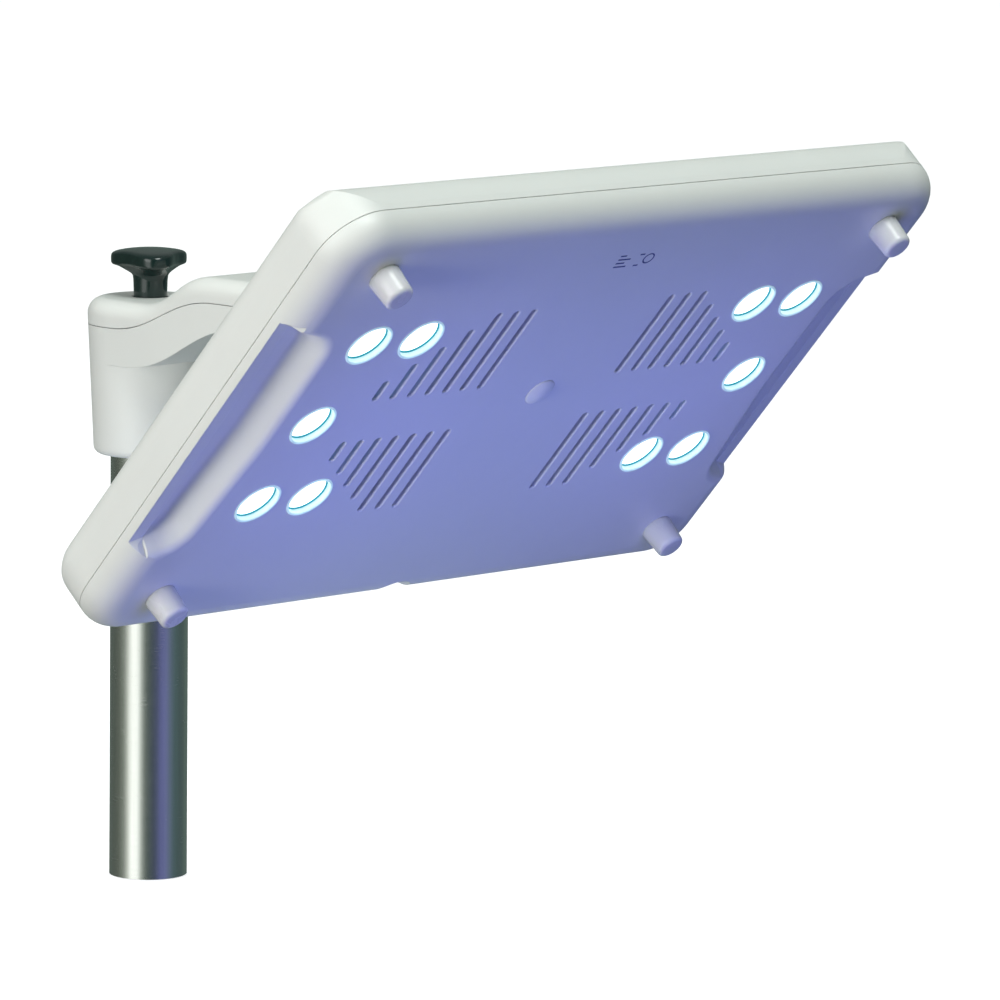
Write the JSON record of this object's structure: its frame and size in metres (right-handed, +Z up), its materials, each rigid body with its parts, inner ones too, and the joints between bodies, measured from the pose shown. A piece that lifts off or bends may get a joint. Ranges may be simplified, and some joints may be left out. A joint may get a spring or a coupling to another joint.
{
  "type": "dental operating light",
  "caption": "Flat tilting light head with recessed round windows on an S-shaped swivel arm, clamped to a round pole by a hand knob.",
  "frame": {"origin": "on the pole axis, at the pole tube's open lower end", "axes": "+Z up along the pole, the arm reaches out along -Y, +X along the long side of the light head"},
  "size_m": [0.396, 0.3709, 0.3719],
  "materials": {
    "white_plastic": "fine moulded texture, satin",
    "black_plastic": "moulded, glossy",
    "brushed_pole": "brushed along the tube",
    "cast_aluminium": "bead-blasted",
    "zinc_steel": "bright zinc plate",
    "nylon": "turned nylon",
    "bearing_bronze": "turned",
    "clear_glass": "clear",
    "reflector_metal": "vacuum metallised",
    "emitter": "light source face",
    "circuit_board": "white solder mask",
    "capacitor_sleeve": "shrink sleeve",
    "cable_jacket": "insulated lead"
  },
  "bodies": {
    "pole": {"pole_tube": "brushed_pole", "pole_plug": "nylon", "thrust_washer": "bearing_bronze"},
    "arm": {"arm_core": "cast_aluminium", "lower_swivel_bush": "nylon", "upper_swivel_bush": "nylon", "tilt_bushes": "nylon", "tilt_washers": "nylon", "arm_lower_cover": "white_plastic", "arm_top_cover": "white_plastic", "arm_cover_screws": "zinc_steel"},
    "knob": {"clamp_knob": "black_plastic", "knob_stud": "zinc_steel", "knob_washer": "zinc_steel"},
    "fan_left": {"fan_wheel_left": "black_plastic"},
    "fan_right": {"fan_wheel_right": "black_plastic"},
    "rocker": {"power_rocker": "black_plastic"},
    "head": {"back_shell": "white_plastic", "board_spacers": "bearing_bronze", "bracket_screws": "zinc_steel", "centre_cap": "white_plastic", "chassis_plate": "zinc_steel", "driver_board": "circuit_board", "driver_capacitors": "capacitor_sleeve", "driver_coils": "capacitor_sleeve", "fan_frame_left": "black_plastic", "fan_frame_right": "black_plastic", "foot_screws": "zinc_steel", "front_shell": "white_plastic", "heat_sink_left": "cast_aluminium", "heat_sink_right": "cast_aluminium", "hinge_bracket": "zinc_steel", "hinge_lock_nut": "zinc_steel", "hinge_pin": "zinc_steel", "led_board_left": "circuit_board", "led_board_right": "circuit_board", "led_emitters": "emitter", "led_leads": "cable_jacket", "power_inlet": "black_plastic", "power_lead": "cable_jacket", "reflectors": "reflector_metal", "shell_screws": "zinc_steel", "stand_off_feet": "white_plastic", "switch_frame": "black_plastic", "window_lenses": "clear_glass"}
  },
  "joints": [
    {"name": "arm_swivel", "type": "hinge", "parent": "pole", "child": "arm", "pos_m": [0, 0, 0.24], "axis": [0, 0, 1], "range_deg": [-170, 170]},
    {"name": "knob_turn", "type": "hinge", "parent": "pole", "child": "knob", "pos_m": [0, 0, 0.29], "axis": [0, 0, 1], "range_deg": [0, 360]},
    {"name": "head_tilt", "type": "hinge", "parent": "arm", "child": "head", "pos_m": [0, -0.2122, 0.29341], "axis": [1, 0, 0], "range_deg": [-42, 48]},
    {"name": "fan_left_spin", "type": "hinge", "parent": "head", "child": "fan_left", "pos_m": [-0.062, -0.24027, 0.27527], "axis": [0, 0.7431, 0.6691], "continuous": true},
    {"name": "fan_right_spin", "type": "hinge", "parent": "head", "child": "fan_right", "pos_m": [0.062, -0.24027, 0.27527], "axis": [0, 0.7431, 0.6691], "continuous": true},
    {"name": "rocker_press", "type": "hinge", "parent": "head", "child": "rocker", "pos_m": [0.096, -0.16647, 0.21348], "axis": [1, 0, 0], "range_deg": [-16, 0]}
  ]
}
